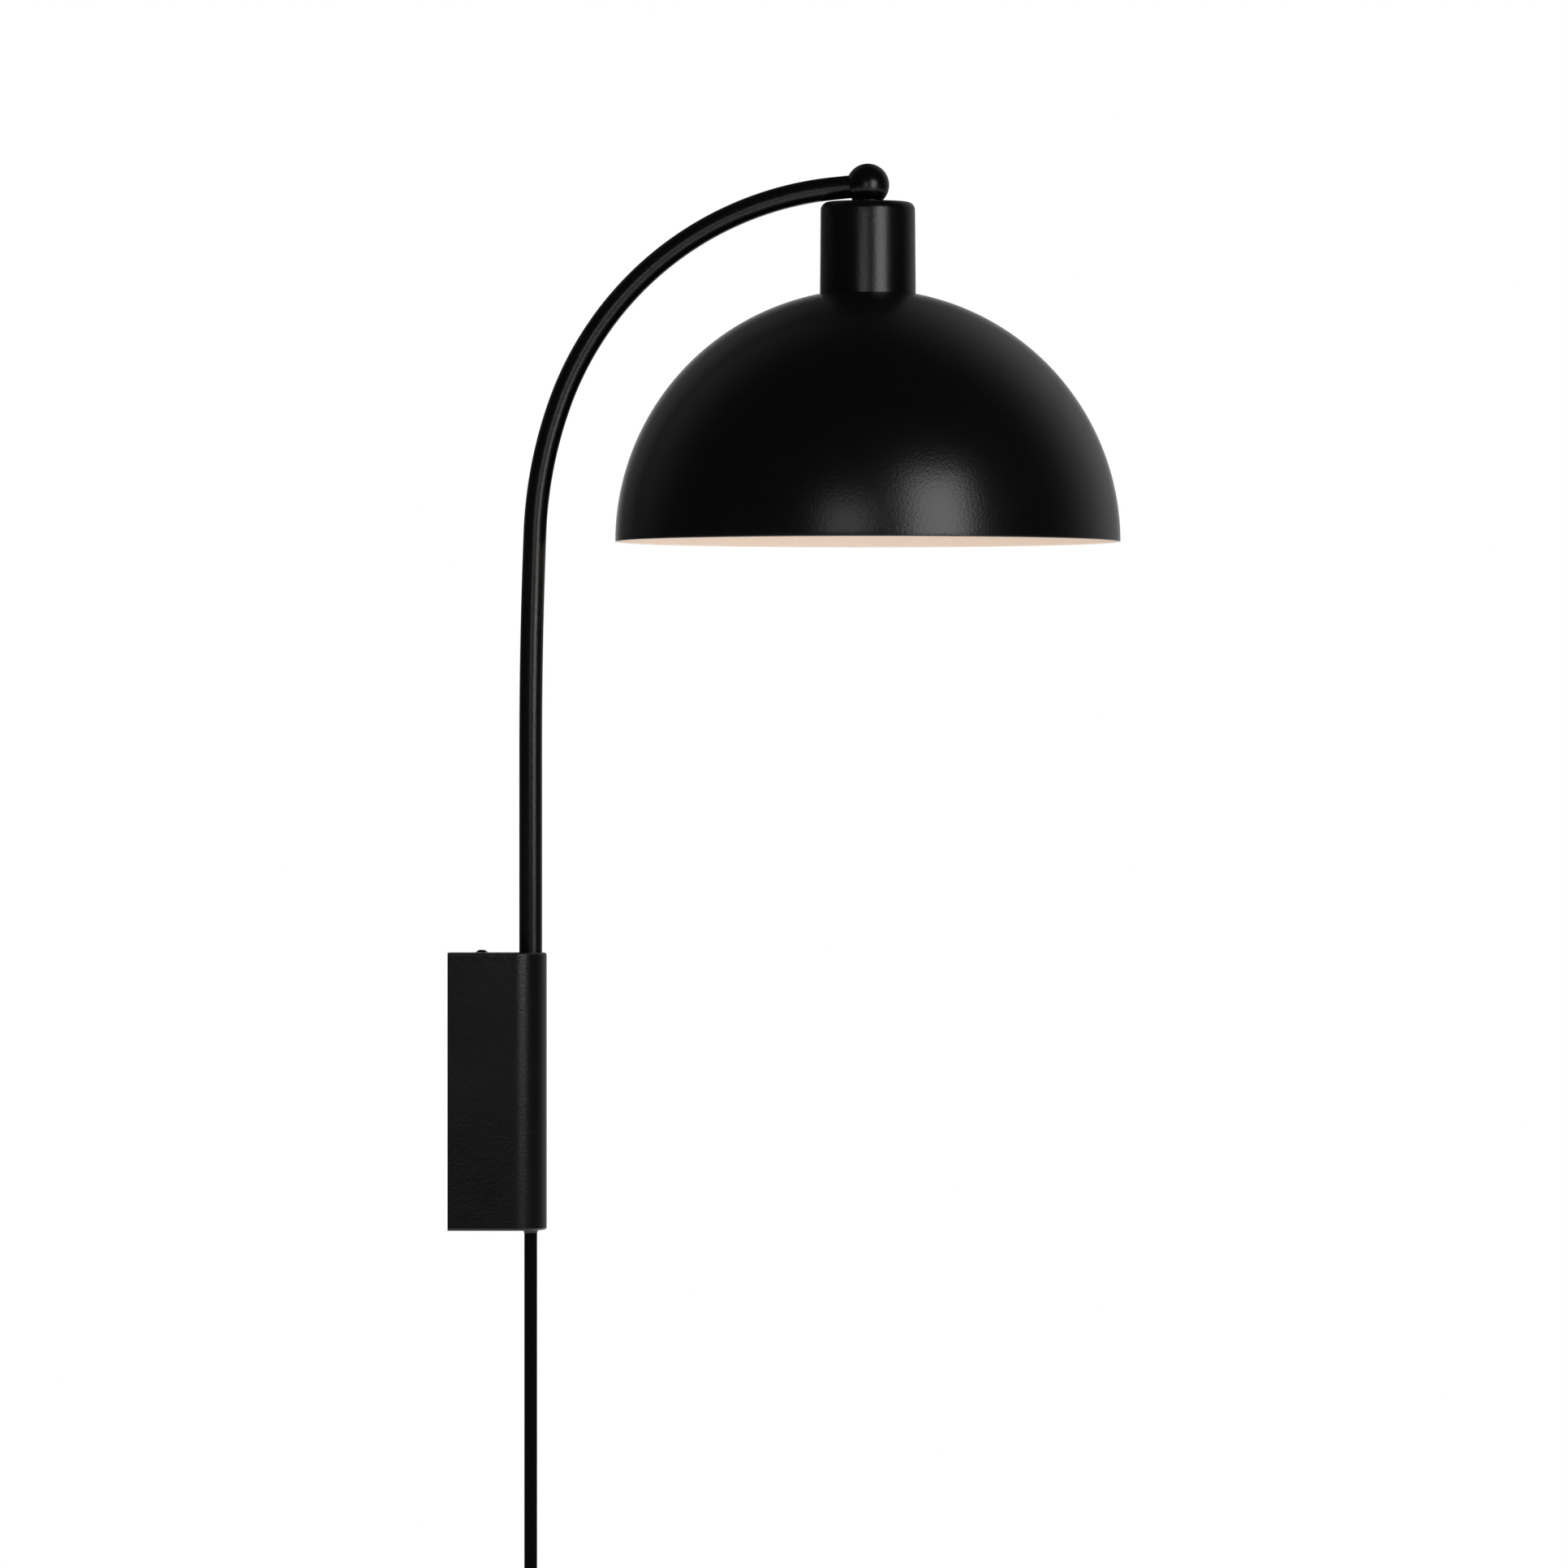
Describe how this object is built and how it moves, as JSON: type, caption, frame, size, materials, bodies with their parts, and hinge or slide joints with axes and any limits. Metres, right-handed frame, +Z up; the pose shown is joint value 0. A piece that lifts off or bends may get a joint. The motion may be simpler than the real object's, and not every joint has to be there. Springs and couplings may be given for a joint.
{
  "type": "hanging pendant wall sconce",
  "caption": "Wall light: a round-fronted wall housing, a swivelling arched tube arm and a hemispherical shade hung from a ball joint, with flex, inline switch and plug.",
  "frame": {"origin": "middle of the two wall screws, on the wall", "axes": "+X out of the wall towards the shade, +Y across, +Z up"},
  "size_m": [0.2926, 0.22, 0.8201],
  "materials": {
    "black_coat": "satin black powder coat with a fine orange-peel grain",
    "shade_coat": "satin black powder coat outside, warm white inside",
    "zinc_steel": "zinc plated steel",
    "black_screw": "black oxide steel",
    "brass": "plain brass",
    "nickel": "nickel plated brass",
    "bush_plastic": "black acetal",
    "holder_plastic": "black moulded thermoset",
    "ceramic": "off-white insulating ceramic",
    "flex_textile": "black braided textile sleeve",
    "lead_insulation": "heat resistant insulation",
    "switch_plastic": "black moulded plastic, fine spark texture",
    "tie_strap": "black hook and loop strap",
    "plug_plastic": "black moulded plug"
  },
  "bodies": {
    "wall": {"wall_bracket": "zinc_steel", "wall_housing": "black_coat", "housing_screw": "black_screw", "upper_bush": "bush_plastic", "lower_bush": "bush_plastic", "thrust_washer": "bush_plastic", "swivel_stop_screw": "black_screw", "cord_clamp_screw": "black_screw", "cord_grommet": "bush_plastic", "cord_upper": "flex_textile", "switch_back": "switch_plastic", "switch_front": "switch_plastic", "switch_screws": "black_screw", "cord_middle": "flex_textile", "cord_coil": "flex_textile", "coil_tie": "tie_strap", "cord_tail": "flex_textile", "plug_body": "plug_plastic", "plug_pins": "nickel", "pin_sleeves": "plug_plastic"},
    "arm": {"arm_tube": "black_coat", "arm_flex": "flex_textile", "swivel_ball": "black_coat", "ball_stem": "zinc_steel", "cup_washer": "zinc_steel", "disc_springs": "zinc_steel", "spring_washer": "zinc_steel", "stem_nut": "zinc_steel", "supply_leads": "lead_insulation"},
    "shade": {"lamp_cap": "black_coat", "seat_bush": "black_coat", "holder_yoke": "zinc_steel", "yoke_screws": "zinc_steel", "lampholder_body": "holder_plastic", "contact_base": "ceramic", "thread_shell": "nickel", "centre_contact": "brass", "terminal_screws": "brass", "shade_ring": "holder_plastic", "dome_shade": "shade_coat"},
    "rocker": {"switch_rocker": "switch_plastic"}
  },
  "joints": [
    {"name": "arm_swivel", "type": "hinge", "parent": "wall", "child": "arm", "pos_m": [0.0358, 0, 0], "axis": [0, 0, 1], "range_deg": [-55, 55]},
    {"name": "shade_tilt", "type": "hinge", "parent": "arm", "child": "shade", "pos_m": [0.18259, 0, 0.39454], "axis": [0, -1, 0], "range_deg": [0, 15]},
    {"name": "switch_rocker", "type": "hinge", "parent": "wall", "child": "rocker", "pos_m": [0.0418, 0, -0.24395], "axis": [0, 1, 0], "range_deg": [0, 12]}
  ]
}
